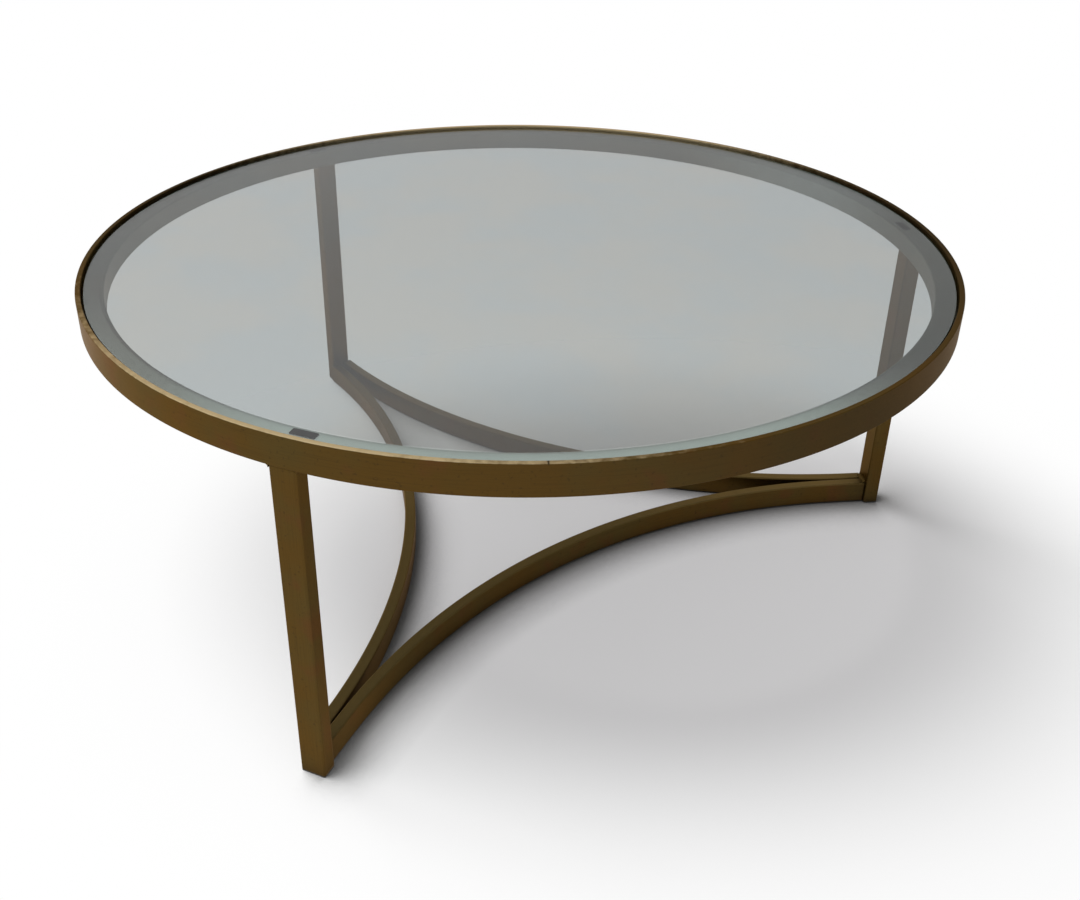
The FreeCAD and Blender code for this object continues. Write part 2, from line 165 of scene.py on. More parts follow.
@dataclass(frozen=True)
class Route:
    """A path that a section is carried along, with a frame at each stop.

    Attributes:
        centre: Points of the path.
        side: Unit vectors across the path, level in plan.
        rise: Unit vectors across the path, at right angles to side.
        closed: True if the last stop joins the first.
    """

    centre: np.ndarray
    side: np.ndarray
    rise: np.ndarray
    closed: bool = False

    def length(self) -> np.ndarray:
        """Metres along the path at each stop, with the closing stop last on a closed path."""
        ends = self.centre[:1] if self.closed else self.centre[:0]
        steps = np.linalg.norm(np.diff(np.vstack([self.centre, ends]), axis=0), axis=1)
        return np.concatenate([[0.0], np.cumsum(steps)])

    def winds_backwards(self) -> bool:
        """True if side cross rise points along the path, which turns a swept skin inside out."""
        steps = np.diff(self.centre, axis=0)
        first = int(np.argmax(np.linalg.norm(steps, axis=1) > 0.0))
        return float(np.cross(self.side[first], self.rise[first]) @ steps[first]) > 0.0


def rounded_section(width: float, height: float, radius: float, bend_steps: int = 6) -> Section:
    """A rectangle with round corners.

    Four quarter circles run anticlockwise round centres set in by the radius. On each straight run
    between them, points at small distances from both ends keep the flat truly flat.

    Args:
        width: Size along the side direction.
        height: Size along the rise direction.
        radius: Corner radius.
        bend_steps: Faces on each corner.

    Returns:
        The outline.
    """
    turns = np.linspace(0.0, math.pi / 2, bend_steps + 1)
    signs = ((1, 1), (-1, 1), (-1, -1), (1, -1))
    runs = (width, height, width, height)
    sides, rises, edges = [], [], []
    for quarter, ((across, along), run) in enumerate(zip(signs, runs)):
        angle = quarter * math.pi / 2 + turns
        bend_side = across * (width / 2 - radius) + radius * np.cos(angle)
        bend_rise = along * (height / 2 - radius) + radius * np.sin(angle)
        flat = run - 2.0 * radius
        ends = EDGE_STEPS[EDGE_STEPS < flat / 2]
        reach = np.concatenate([ends, [flat / 2], flat - ends[::-1]])
        ahead_side, ahead_rise = -math.sin(angle[-1]), math.cos(angle[-1])
        sides += [bend_side, bend_side[-1] + reach * ahead_side]
        rises += [bend_rise, bend_rise[-1] + reach * ahead_rise]
        fade = np.exp(-((np.minimum(reach, flat - reach) / EDGE_FADE) ** 2))
        edges += [np.ones_like(angle), fade]
    return Section(np.concatenate(sides), np.concatenate(rises), np.concatenate(edges))


def hollow_fillet(size: float, toe: float, bend_steps: int = 10) -> Section:
    """The outline of a hollow fillet weld that fills the corner at the origin.

    Its flats run along +side and along -rise; a quarter circle about the far corner joins their
    blunt ends, so the face is hollow.

    Args:
        size: Length of both flats.
        toe: Thickness of the bead where it ends.
        bend_steps: Faces on the hollow.

    Returns:
        The outline.
    """
    angle = np.linspace(math.pi / 2, math.pi, bend_steps + 1)
    side = np.concatenate([[0.0, size], size + (size - toe) * np.cos(angle), [0.0]])
    rise = np.concatenate([[0.0, 0.0], -size + (size - toe) * np.sin(angle), [-size]])
    return Section(side[::-1], rise[::-1], np.zeros_like(side))


def ring_route(radius: float, height: float, turns: np.ndarray) -> Route:
    """A level circle about the table's axis: radius times the cosine and sine of each turn.

    Args:
        radius: Radius of the circle.
        height: Height of the circle.
        turns: Plan directions of the stops, rising through one turn.

    Returns:
        The closed route, its side pointing outwards.
    """
    outwards = np.stack([np.cos(turns), np.sin(turns), np.zeros_like(turns)], axis=1)
    return Route(outwards * radius + height * UP, outwards, np.broadcast_to(UP, outwards.shape), True)


@dataclass
class Skin:
    """A swept surface on its way to becoming a piece.

    Attributes:
        section: The outline.
        route: The path.
        capped: True if flat faces close both ends.
        points: Grid of points, one row per stop and one column per point of the outline.
        measures: Grids of point values, by attribute.
    """

    section: Section
    route: Route
    capped: bool = False
    points: np.ndarray = field(init=False)
    measures: dict[Measure, np.ndarray] = field(default_factory=dict)

    def __post_init__(self) -> None:
        """Carries the outline along the path: centre plus side and rise times the outline's own."""
        across = self.section.side[None, :, None] * self.route.side[:, None, :]
        upwards = self.section.rise[None, :, None] * self.route.rise[:, None, :]
        self.points = self.route.centre[:, None, :] + across + upwards

    def mesh(self, name: str) -> Mesh:
        """Joins the grid into quads, all at once from index grids.

        Args:
            name: Name of the mesh.

        Returns:
            The closed mesh, with its UV map in metres and its point attributes.
        """
        rows, columns = self.points.shape[:2]
        index = np.arange(rows * columns).reshape(rows, columns)
        wrapped = np.concatenate([index, index[:, :1]], axis=1)
        along = self.route.length()
        if self.route.closed:
            wrapped = np.concatenate([wrapped, wrapped[:1]], axis=0)
        girth = self.section.girth()
        u_grid, v_grid = np.meshgrid(along, girth, indexing="ij")
        corners = ((0, 0), (1, 0), (1, 1), (0, 1))
        if self.route.winds_backwards():
            corners = corners[::-1]
        last_row, last_column = wrapped.shape[0] - 1, wrapped.shape[1] - 1

        def picked(grid: np.ndarray) -> np.ndarray:
            """The four corners of every quad of a grid, quad by quad."""
            return np.stack([grid[a : last_row + a, b : last_column + b] for a, b in corners], axis=-1)

        quads = picked(wrapped).reshape(-1)
        uv = np.stack([picked(u_grid).reshape(-1), picked(v_grid).reshape(-1)], axis=-1)
        totals = np.full(quads.size // len(corners), len(corners))
        if self.capped:
            first, last = index[0], index[-1][::-1]
            if self.route.winds_backwards():
                first, last = first[::-1], last[::-1]
            flat = np.stack([self.section.side, self.section.rise], axis=1)
            quads = np.concatenate([quads, first, last])
            uv = np.concatenate([uv, flat, flat])
            totals = np.concatenate([totals, [columns, columns]])
        mesh = bpy.data.meshes.new(name)
        mesh.vertices.add(rows * columns)
        mesh.vertices.foreach_set("co", self.points.astype(np.float32).ravel())
        mesh.loops.add(quads.size)
        mesh.loops.foreach_set("vertex_index", quads.astype(np.int32))
        mesh.polygons.add(totals.size)
        starts = np.concatenate([[0], np.cumsum(totals)[:-1]])
        mesh.polygons.foreach_set("loop_start", starts.astype(np.int32))
        smooth = np.ones(totals.size, dtype=bool)
        if self.capped:
            smooth[-2:] = False
        mesh.polygons.foreach_set("use_smooth", smooth)
        layer = mesh.uv_layers.new(name=UV_METRES)
        layer.data.foreach_set("uv", uv.astype(np.float32).ravel())
        for measure in Measure:
            grid = self.measures.get(measure, np.zeros((rows, columns)))
            attribute = mesh.attributes.new(measure.value, "FLOAT", "POINT")
            values = np.broadcast_to(grid, (rows, columns)).astype(np.float32)
            attribute.data.foreach_set("value", values.ravel())
        mesh.update(calc_edges=True)
        mesh.validate()
        return mesh


@dataclass(frozen=True)
class Bead:
    """A fillet weld with a rippled hollow face.

    Attributes:
        size: Length of its flats.
        toe: Its thickness where it ends.
        ripple: How far its face swells.
        pitch: Spacing of the swells.
        off_flat: How far from both flats its face begins.
    """

    size: float = 4.0 * MM
    toe: float = 0.4 * MM
    ripple: float = 0.08 * MM
    pitch: float = 2.6 * MM
    off_flat: float = 0.1 * MM

    def skin(self, route: Route, grime_and_painted_shade: float) -> Skin:
        """Carries the fillet along a corner; a sine wave along it lifts the face off the corner.

        Args:
            route: The corner that it fills.
            grime_and_painted_shade: How dirty it is.

        Returns:
            The swept surface.
        """
        section = hollow_fillet(self.size, self.toe)
        skin = Skin(section, route, capped=True)
        swell = self.ripple * np.sin(math.tau * route.length() / self.pitch)
        on_face = (section.side > self.off_flat) & (section.rise < -self.off_flat)
        skin.points += (route.side - route.rise)[:, None, :] * np.outer(swell, on_face)[..., None]
        skin.measures[Measure.GRIME_AND_PAINTED_SHADE] = np.full(skin.points.shape[:2], grime_and_painted_shade)
        return skin


def link_object(name: str, data: Any) -> Object:
    """Adds an object to the scene."""
    made = bpy.data.objects.new(name, data)
    bpy.context.scene.collection.objects.link(made)
    return made


def add_piece(
    name: str,
    skin: Skin,
    material: Material,
    node: str,
    body: Body = Body.BASE,
) -> None:
    """Puts a finished skin into the scene in place of a node.

    Args:
        name: Name of the piece.
        skin: Its surface, already in place.
        material: Its finish.
        node: The node it stands for.
        body: The body it rides on.
    """
    mesh = skin.mesh(name)
    piece = link_object(name, mesh)
    mesh.materials.append(material)
    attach(piece, body.value)
    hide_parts(node)
    log.info("%s: %d faces, stands for %s", name, len(mesh.polygons), node)


def dress_node(node: str, material: Material) -> None:
    """Gives a node that keeps its own shape a finish.

    Args:
        node: The node's name.
        material: Its finish.
    """
    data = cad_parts[node].data
    data.materials.clear()
    data.materials.append(material)
    log.info("%s: keeps its shape, dressed in %s", node, material.name)


class Value:
    """A number that varies over a surface; arithmetic on it adds Math nodes."""

    def __init__(self, shader: "Shader", socket: NodeSocket) -> None:
        """Wraps one output socket of a shader."""
        self.shader = shader
        self.socket = socket

    def _math(self, operation: str, first: Any, second: Any = 0.0) -> "Value":
        """One Math node on two values or numbers."""
        node = self.shader.node("ShaderNodeMath", {"operation": operation}, {0: first, 1: second})
        return Value(self.shader, node.outputs[0])

    def __add__(self, other: Any) -> "Value":
        """This plus other."""
        return self._math("ADD", self, other)

    def __radd__(self, other: Any) -> "Value":
        """Other plus this."""
        return self._math("ADD", other, self)

    def __sub__(self, other: Any) -> "Value":
        """This minus other."""
        return self._math("SUBTRACT", self, other)

    def __rsub__(self, other: Any) -> "Value":
        """Other minus this."""
        return self._math("SUBTRACT", other, self)

    def __mul__(self, other: Any) -> "Value":
        """This times other."""
        return self._math("MULTIPLY", self, other)

    def __rmul__(self, other: Any) -> "Value":
        """Other times this."""
        return self._math("MULTIPLY", other, self)

    def most(self, other: Any) -> "Value":
        """The greater of this and other."""
        return self._math("MAXIMUM", self, other)

    def eased(self, low: float, high: float) -> "Value":
        """Smoothly 0 below low and 1 above high."""
        settings = {"interpolation_type": "SMOOTHSTEP"}
        inputs = {"Value": self, "From Min": low, "From Max": high}
        return Value(self.shader, self.shader.node("ShaderNodeMapRange", settings, inputs).outputs[0])


@dataclass(frozen=True)
class Noise:
    """A cloudy pattern about 0.5.

    Attributes:
        scale: Clouds per metre.
        detail: Octaves.
        rough: Share of each octave.
        span: Where its easing starts and ends.
    """

    scale: float
    detail: float
    rough: float = 0.5
    span: Span = (0.0, 1.0)


class Shader:
    """A node tree that is filled by expressions."""

    def __init__(self, owner: Material | World) -> None:
        """Clears the owner's nodes."""
        owner.use_nodes = True
        self.tree = owner.node_tree
        self.tree.nodes.clear()

    def node(self, kind: str, settings: dict[str, Any], inputs: dict[Any, Any]) -> Node:
        """Adds one node.

        Args:
            kind: The node's type.
            settings: Its settings, put in before its inputs.
            inputs: Values, sockets or numbers by socket name or place.

        Returns:
            The node.
        """
        node = self.tree.nodes.new(kind)
        for name, setting in settings.items():
            setattr(node, name, setting)
        for key, given in inputs.items():
            if isinstance(given, Value):
                given = given.socket
            if isinstance(given, NodeSocket):
                self.tree.links.new(given, node.inputs[key])
            else:
                node.inputs[key].default_value = given
        return node

    def place(self) -> NodeSocket:
        """The surface point in metres in the table's own frame."""
        return self.node("ShaderNodeTexCoord", {}, {}).outputs["Object"]

    def run(self, along: float, across: float) -> NodeSocket:
        """The UV map's metres along a piece and round it, each times its own scale, as a point."""
        uv = self.node("ShaderNodeUVMap", {"uv_map": UV_METRES}, {})
        return self.vector("MULTIPLY", uv.outputs[0], (along, across, 1.0)).outputs[0]

    def measure(self, measure: Measure) -> Value:
        """A point attribute of the mesh."""
        node = self.node("ShaderNodeAttribute", {"attribute_name": measure.value}, {})
        return Value(self, node.outputs["Fac"])

    def noise(self, place: NodeSocket, noise: Noise) -> Value:
        """A cloudy pattern on the surface.

        Args:
            place: Where on the surface.
            noise: Which pattern.

        Returns:
            The pattern.
        """
        inputs = {"Scale": noise.scale, "Detail": noise.detail, "Roughness": noise.rough}
        node = self.node("ShaderNodeTexNoise", {}, {"Vector": place, **inputs})
        return Value(self, node.outputs[0])

    def vector(self, operation: str, place: NodeSocket, other: Triple = (0.0, 0.0, 0.0)) -> Node:
        """One Vector Math node on two points."""
        return self.node("ShaderNodeVectorMath", {"operation": operation}, {0: place, 1: other})

    def distance(self, place: NodeSocket) -> Value:
        """How far a point is from the origin."""
        return Value(self, self.vector("LENGTH", place).outputs["Value"])

    def ahead(self, place: NodeSocket, way: Triple) -> Value:
        """How far a point lies along a direction."""
        return Value(self, self.vector("DOT_PRODUCT", place, way).outputs["Value"])

    def ray(self, *kinds: str) -> Value:
        """1 for rays of any of the kinds that are named."""
        rays = self.node("ShaderNodeLightPath", {}, {})
        found = [Value(self, rays.outputs[f"Is {kind} Ray"]) for kind in kinds]
        return functools.reduce(Value.most, found)

    def mixed(self, share: Any, first: Any, second: Any) -> NodeSocket:
        """A colour between two colours.

        Args:
            share: How much of the second.
            first: A colour or a colour socket.
            second: A colour or a colour socket.

        Returns:
            The mixed colour.
        """
        ends = [(*end, 1.0) if isinstance(end, tuple) else end for end in (first, second)]
        node = self.node("ShaderNodeMix", {"data_type": "RGBA"}, {0: share, 6: ends[0], 7: ends[1]})
        return node.outputs[2]

    def bump(self, height: Value, strength: float, distance: float) -> NodeSocket:
        """A normal bent by a height field, with its depth in metres."""
        inputs = {"Height": height, "Strength": strength, "Distance": distance}
        return self.node("ShaderNodeBump", {}, inputs).outputs[0]

    def principled(self, inputs: dict[str, Any]) -> NodeSocket:
        """A Principled shader with some of its inputs given."""
        return self.node("ShaderNodeBsdfPrincipled", {}, inputs).outputs[0]

    def clear(self, passed: Colour) -> NodeSocket:
        """A shader that light passes straight through, in a colour."""
        return self.node("ShaderNodeBsdfTransparent", {}, {"Color": (*passed, 1.0)}).outputs[0]

    def blend(self, share: Any, first: Any, second: Any) -> NodeSocket:
        """A shader between two shaders, with a share of the second."""
        return self.node("ShaderNodeMixShader", {}, {0: share, 1: first, 2: second}).outputs[0]

    def finish(self, surface: NodeSocket) -> None:
        """Sends a shader to the material's output."""
        self.node("ShaderNodeOutputMaterial", {}, {"Surface": surface})


@dataclass(frozen=True)
class AntiqueBrass:
    """Satin brass darkened to brown, clouded red and olive, and rubbed bright on exposed edges; where
    the meshes say so, also painted highlight, painted light and painted shade.
    """

    name: str = "antique_brass"
    brown: Colour = (0.096, 0.051, 0.009)
    olive: Colour = (0.088, 0.057, 0.014)
    red: Colour = (0.108, 0.046, 0.013)
    dark: Colour = (0.022, 0.015, 0.007)
    dust: Colour = (0.170, 0.118, 0.042)
    # Rubbed brass, and also the colour of the painted highlight and painted light.
    bright: Colour = (0.560, 0.440, 0.250)
    grazing: Colour = (0.850, 0.640, 0.460)
    metallic: float = 0.92
    roughness: float = 0.42
    coat: float = 0.05
    coat_roughness: float = 0.28
    clouds: Noise = Noise(11.0, 4.0, 0.55, (0.36, 0.66))
    patches: Noise = Noise(23.0, 3.0, 0.5, (0.54, 0.74))
    grain: Noise = Noise(620.0, 3.0, 0.6)
    streaks: Noise = Noise(1.0, 2.0, 0.5, (0.45, 0.75))
    specks: Noise = Noise(260.0, 2.0, 0.5, (0.63, 0.72))
    rubbing: Noise = Noise(95.0, 3.0, 0.6)
    streak_stretch: Span = (14.0, 900.0)
    worn_and_lit_ease: Span = (0.30, 0.80)
    least_ease: Span = (0.0, 0.25)
    dust_share: float = 0.75
    rub_grain: float = 0.6
    red_share: float = 0.75
    streak_share: float = 0.22
    speck_share: float = 0.35
    grain_roughness: float = 0.16
    cloud_roughness: float = 0.18
    worn_and_lit_polish: float = 0.10
    grime_and_painted_shade_roughness: float = 0.22
    grain_height: float = 0.6
    streak_height: float = 0.4
    speck_pit: float = 0.5
    relief: float = 0.35
    relief_depth: float = 0.12 * MM

    def material(self) -> Material:
        """Builds the finish.

        Returns:
            The material.
        """
        made = bpy.data.materials.new(self.name)
        shader = Shader(made)
        place = shader.place()
        clouds = shader.noise(place, self.clouds)
        patches = shader.noise(place, self.patches)
        grain = shader.noise(place, self.grain)
        streaks = shader.noise(shader.run(*self.streak_stretch), self.streaks)
        specks = shader.noise(place, self.specks).eased(*self.specks.span)
        rubbed_and_lit = shader.noise(place, self.rubbing)
        wear_and_painted_light = shader.measure(Measure.WEAR_AND_PAINTED_LIGHT)
        dust = shader.measure(Measure.DUST) * self.dust_share
        grime_and_painted_shade = shader.measure(Measure.GRIME_AND_PAINTED_SHADE)
        # Rubbed bright by wear, and painted highlight and painted light where the wear mask carries
        # them.
        worn_and_lit = (wear_and_painted_light + (rubbed_and_lit - NOISE_MIDDLE) * self.rub_grain).eased(*self.worn_and_lit_ease)
        worn_and_lit = worn_and_lit * wear_and_painted_light.eased(*self.least_ease)
        colour = shader.mixed(clouds.eased(*self.clouds.span), self.brown, self.olive)
        colour = shader.mixed(patches.eased(*self.patches.span) * self.red_share, colour, self.red)
        colour = shader.mixed(streaks.eased(*self.streaks.span) * self.streak_share, colour, self.dark)
        colour = shader.mixed(specks * self.speck_share, colour, self.dark)
        colour = shader.mixed(dust, colour, self.dust)
        colour = shader.mixed(worn_and_lit, colour, self.bright)
        # Darkened by grime, and painted shade where the grime mask carries it.
        colour = shader.mixed(grime_and_painted_shade, colour, self.dark)
        rough = self.roughness + (grain - NOISE_MIDDLE) * self.grain_roughness
        rough = rough + (clouds - NOISE_MIDDLE) * self.cloud_roughness
        rough = rough - worn_and_lit * self.worn_and_lit_polish + grime_and_painted_shade * self.grime_and_painted_shade_roughness
        height = grain * self.grain_height + streaks * self.streak_height - specks * self.speck_pit
        inputs = {
            "Base Color": colour,
            "Metallic": self.metallic,
            "Roughness": rough,
            "Specular Tint": (*self.grazing, 1.0),
            "Coat Weight": self.coat,
            "Coat Roughness": self.coat_roughness,
            "Normal": shader.bump(height, self.relief, self.relief_depth),
        }
        shader.finish(shader.principled(inputs))
        return made


@dataclass(frozen=True)
class TableGlass:
    """Float glass with a faint grey-green tint, greener at its ground edge, with faint smears, and
    painted light over the near side of the seat.
    """

    name: str = "table_glass"
    tint: Colour = (0.414, 0.450, 0.452)
    smeared: Colour = (0.440, 0.454, 0.436)
    seat_painted_light_tint: Colour = (0.820, 0.900, 0.870)
    edge_tint: Colour = (0.300, 0.520, 0.440)
    passed: Colour = (0.700, 0.695, 0.700)
    index: float = 1.5
    rim_zone: Span = (0.506, 0.509)
    near_turn: float = math.radians(-77.0)
    near_zone: Span = (0.20, 0.44)
    smears: Noise = Noise(5.0, 4.0, 0.6, (0.36, 0.62))
    motes: Noise = Noise(900.0, 2.0, 0.5, (0.6, 0.8))
    thick_smears: Span = (0.5, 0.8)
    smear_roughness: float = 0.02
    mote_roughness: float = 0.015
    edge_roughness: float = 0.08

    def material(self) -> Material:
        """Builds the finish; lamp light and bounced light pass straight through it.

        Returns:
            The material.
        """
        made = bpy.data.materials.new(self.name)
        shader = Shader(made)
        place = shader.place()
        smears = shader.noise(place, self.smears)
        motes = shader.noise(place, self.motes)
        # On the glass this attribute holds the share of its ground edge.
        edge = shader.measure(Measure.WEAR_AND_PAINTED_LIGHT)
        tint = shader.mixed(smears.eased(*self.smears.span), self.tint, self.smeared)
        # Painted light: the glass made lighter over the near side of the seat.
        tint = shader.mixed(self.over_seat(shader, place), tint, self.seat_painted_light_tint)
        tint = shader.mixed(edge, tint, self.edge_tint)
        rough = smears.eased(*self.thick_smears) * self.smear_roughness
        rough = rough + motes.eased(*self.motes.span) * self.mote_roughness
        rough = rough + edge * self.edge_roughness
        inputs = {"Base Color": tint, "Roughness": rough, "IOR": self.index}
        glass = shader.principled({**inputs, "Transmission Weight": 1.0})
        shader.finish(shader.blend(shader.ray("Shadow", "Diffuse"), glass, shader.clear(self.passed)))
        return made

    def over_seat(self, shader: Shader, place: NodeSocket) -> Value:
        """1 where the glass lies over the near side of the seat, by distances from the table's axis;
        the glass is painted lighter there.

        Args:
            shader: The glass's own shader.
            place: The surface point.

        Returns:
            The share.
        """
        level = shader.vector("MULTIPLY", place, (1.0, 1.0, 0.0)).outputs[0]
        reach = shader.distance(level)
        near = (math.cos(self.near_turn), math.sin(self.near_turn), 0.0)
        return reach.eased(*self.rim_zone) * shader.ahead(place, near).eased(*self.near_zone)


@dataclass(frozen=True)
class MattBlack:
    """Black rubber or moulded plastic with a fine grain and dusty patches."""

    name: str
    colour: Colour
    dust: Colour
    roughness: float
    pores: Noise
    patches: Noise = Noise(70.0, 4.0, 0.6, (0.4, 0.75))
    dust_share: float = 0.6
    pore_roughness: float = 0.2
    relief: float = 0.4
    relief_depth: float = 0.2 * MM

    def material(self) -> Material:
        """Builds the finish.

        Returns:
            The material.
        """
        made = bpy.data.materials.new(self.name)
        shader = Shader(made)
        place = shader.place()
        patches = shader.noise(place, self.patches).eased(*self.patches.span)
        pores = shader.noise(place, self.pores)
        colour = shader.mixed(patches * self.dust_share, self.colour, self.dust)
        inputs = {
            "Base Color": colour,
            "Roughness": self.roughness + (pores - NOISE_MIDDLE) * self.pore_roughness,
            "Normal": shader.bump(pores, self.relief, self.relief_depth),
        }
        shader.finish(shader.principled(inputs))
        return made


# The seat's finish; its bright colour is the painted light on the seat's near and far stretches.
SEAT_BRASS = AntiqueBrass(
    name="seat_brass",
    brown=(0.130, 0.132, 0.102),
    olive=(0.142, 0.150, 0.116),
    red=(0.124, 0.118, 0.090),
    dark=(0.060, 0.060, 0.050),
    bright=(0.540, 0.610, 0.570),
    metallic=0.25,
    roughness=0.5,
    rub_grain=0.12,
)
PAD_RUBBER = MattBlack(
    name="pad_rubber",
    colour=(0.040, 0.040, 0.039),
    dust=(0.072, 0.070, 0.066),
    roughness=0.75,
    pores=Noise(2600.0, 2.0),
)
GLIDE_PLASTIC = MattBlack(
    name="glide_plastic",
    colour=(0.018, 0.018, 0.018),
    dust=(0.050, 0.048, 0.044),
    roughness=0.55,
    pores=Noise(4200.0, 2.0),
)


@dataclass
class TopRing:
    """The rim band and the seat ring inside it."""

    brass: Material
    seat_brass: Material
    rim_radius: float = 533.5 * MM
    top: float = 422.0 * MM
    band_height: float = 35.0 * MM
    band_thickness: float = 6.0 * MM
    band_edge: float = 1.0 * MM
    seat_width: float = 25.0 * MM
    seat_height: float = 25.0 * MM
    seat_corner: float = 2.0 * MM
    seat_gap: float = 0.3 * MM
    stops: int = 1080
    seam_turn: float = math.radians(-63.3) % math.tau
    seam_width: float = 0.9 * MM
    seam_reach: float = 3.6 * MM
    seam_stops: int = 17
    rub_depth: float = 1.5 * MM
    rub_base: float = 0.10
    # Painted highlight: the top edge made brighter on its near stretch; rub_base is the real wear all
    # round.
    near_painted_highlight: Bell = Bell(-93.0, 46.0, 0.70)
    # Painted light: the inner wall made brighter on the far side.
    far_painted_light: Bell = Bell(113.0, 62.0, 0.95)
    # Painted shade: the inner wall made darker on the far right and on the left.
    far_right_painted_shade: Bell = Bell(34.0, 42.0, 0.85)
    left_painted_shade: Bell = Bell(178.0, 36.0, 0.85)
    # Painted shade: the outer face made darker around -15 degrees.
    right_shade: Bell = Bell(-15.0, 40.0, 0.78)
    # Painted light: the seat made lighter on its near and far stretches.
    seat_near_painted_light: Bell = Bell(-64.0, 48.0, 1.0)
    seat_far_painted_light: Bell = Bell(58.0, 36.0, 0.56)

    def bottom(self) -> float:
        """Height of the ring's underside."""
        return self.top - self.band_height

    def build_band(self) -> None:
        """The rolled hoop, rubbed bright along its upper edge, with a painted highlight on that edge's
        near stretch, painted light and painted shade on its inner wall and painted shade on its outer
        face, and nicked at its closing seam.
        """
        section = rounded_section(self.band_thickness, self.band_height, self.band_edge)
        even = np.linspace(0.0, math.tau, self.stops, endpoint=False)
        off_seam = np.linspace(-self.seam_reach, self.seam_reach, self.seam_stops)
        seam = self.seam_turn + off_seam / self.rim_radius
        turns = np.unique(np.concatenate([even, seam]))
        middle = self.rim_radius - self.band_thickness / 2
        route = ring_route(middle, self.top - self.band_height / 2, turns)
        skin = Skin(section, route)
        upper = self.band_height / 2
        on_top = smooth_step(section.rise, upper - self.rub_depth, upper)
        inside = np.maximum(smooth_step(-section.side, 0.0, self.band_thickness / 2), on_top)
        # Real wear all round the top edge, with a painted highlight on its near stretch.
        rubbed_and_lit = np.outer(self.rub_base + self.near_painted_highlight.around(turns), on_top)
        # Painted light on the inner wall on the far side.
        skin.measures[Measure.WEAR_AND_PAINTED_LIGHT] = np.maximum(rubbed_and_lit, np.outer(self.far_painted_light.around(turns), inside))
        from_seam = (turns - self.seam_turn) * self.rim_radius
        nick = np.outer(np.exp(-((from_seam / self.seam_width) ** 2)), on_top)
        # Painted shade on the outer face around -15 degrees.
        right_painted_shade = np.outer(self.right_shade.around(turns), 1.0 - inside)
        # Painted shade on the inner wall on the far right and on the left.
        darkening = np.outer(self.far_right_painted_shade.around(turns) + self.left_painted_shade.around(turns), inside)
        skin.measures[Measure.GRIME_AND_PAINTED_SHADE] = nick + right_painted_shade + darkening
        add_piece("rim_band_hoop", skin, self.brass, "rim_band")

    def build_seat(self) -> None:
        """The rolled tube that the glass lies on, with painted light on its near and far stretches."""
        section = rounded_section(self.seat_width, self.seat_height, self.seat_corner)
        turns = np.linspace(0.0, math.tau, self.stops, endpoint=False)
        outer = self.rim_radius - self.band_thickness - self.seat_gap
        route = ring_route(outer - self.seat_width / 2, self.bottom() + self.seat_height / 2, turns)
        skin = Skin(section, route)
        # Painted light, mixed towards the seat finish's bright colour.
        lit = self.seat_near_painted_light.around(turns) + self.seat_far_painted_light.around(turns)
        skin.measures[Measure.WEAR_AND_PAINTED_LIGHT] = np.outer(lit, np.ones_like(section.edge))
        add_piece("seat_ring_tube", skin, self.seat_brass, "seat_ring")


@dataclass
class GlassTop:
    """The loose disc."""

    glass: Material
    radius: float = 526.0 * MM
    top: float = 418.0 * MM
    thickness: float = 5.0 * MM
    arris: float = 0.8 * MM
    rim_reach: float = 2.5 * MM
    edge_shares: tuple[float, ...] = (0.0, 0.6, 1.0, 1.0, 0.6, 0.0)
    stops: int = 720

    def build(self) -> None:
        """A turned profile: flat face, ground arris, upright edge, arris and flat face.

        The edge's profile is carried round the axis as an open strip whose first and last rims are
        closed by the two flat faces.
        """
        half = self.thickness / 2
        reach = np.array([-self.rim_reach, -self.arris, 0.0, 0.0, -self.arris, -self.rim_reach])
        height = np.array([-half, -half, self.arris - half, half - self.arris, half, half])
        turns = np.linspace(0.0, math.tau, self.stops, endpoint=False)
        centre = (self.top - half + height)[:, None] * UP
        axes = (np.broadcast_to(axis, centre.shape) for axis in np.eye(3)[:2])
        circle = Section(np.cos(turns), np.sin(turns), np.zeros(self.stops))
        skin = Skin(circle, Route(centre, *axes), capped=True)
        skin.points[..., :2] *= (self.radius + reach)[:, None, None]
        shares = np.array(self.edge_shares)[:, None]
        skin.measures[Measure.WEAR_AND_PAINTED_LIGHT] = np.broadcast_to(shares, skin.points.shape[:2])
        add_piece("glass_disc", skin, self.glass, "glass_top", Body.GLASS)


